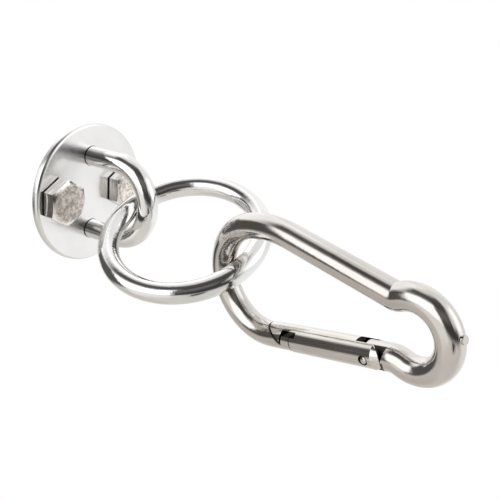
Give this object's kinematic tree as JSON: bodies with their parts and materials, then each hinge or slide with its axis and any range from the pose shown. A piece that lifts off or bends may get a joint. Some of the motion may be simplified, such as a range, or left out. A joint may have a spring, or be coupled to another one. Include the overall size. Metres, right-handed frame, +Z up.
{
  "type": "hammock hook",
  "caption": "Round ceiling plate held by hexagon lag screws, with a welded bail, a loose ring and a pear-shaped snap hook with a sprung gate for hanging a hammock or swing.",
  "frame": {"origin": "centre of the plate's back face, on the ceiling plane, midway between the lag screws", "axes": "+Z up into the ceiling along the lag screws; X across the bail's two feet; Y across the two lag screws; the chain hangs to -Z"},
  "size_m": [0.0632, 0.0599, 0.2275],
  "materials": {
    "plate_steel": "mirror-polished stainless steel",
    "bail_steel": "mirror-polished stainless steel",
    "screw_steel": "plain satin steel",
    "ring_steel": "mirror-polished stainless steel",
    "hook_steel": "polished stainless steel",
    "gate_steel": "polished stainless steel with fine lengthwise brushing",
    "rivet_steel": "polished stainless steel",
    "plunger_steel": "turned steel, inside the gate",
    "spring_steel": "spring wire, inside the gate"
  },
  "bodies": {
    "anchor": {"screw_plate": "plate_steel", "bail": "bail_steel", "lag_screws": "screw_steel"},
    "ring": {"ring": "ring_steel"},
    "hook": {"hook_frame": "hook_steel"},
    "gate": {"gate": "gate_steel", "gate_rivet": "rivet_steel", "gate_spring": "spring_steel"},
    "plunger": {"gate_plunger": "plunger_steel"}
  },
  "joints": [
    {"name": "ring_swing", "type": "hinge", "parent": "anchor", "child": "ring", "pos_m": [-0.0016, 0, -0.03327], "axis": [0.9944, 0, -0.1053], "range_deg": [-55, 78]},
    {"name": "hook_swing", "type": "hinge", "parent": "ring", "child": "hook", "pos_m": [-0.00991, -0.00436, -0.08203], "axis": [0.4284, 0.8902, -0.155], "range_deg": [-100, 100]},
    {"name": "gate_hinge", "type": "hinge", "parent": "hook", "child": "gate", "pos_m": [-0.01963, -0.01435, -0.13987], "axis": [0.1238, 0.9741, -0.1891], "range_deg": [0, 32], "stiffness_Nm_per_rad": 0.12, "springref_deg": -11.46},
    {"name": "plunger_slide", "type": "slide", "parent": "gate", "child": "plunger", "axis": [-0.2425, 0.2145, 0.9462], "range_m": [0, 0.0011], "deforming": ["gate_spring"]}
  ],
  "couplings": [
    {"joint": "plunger_slide", "follows": "gate_hinge", "m_per_rad": 0.0019695}
  ]
}
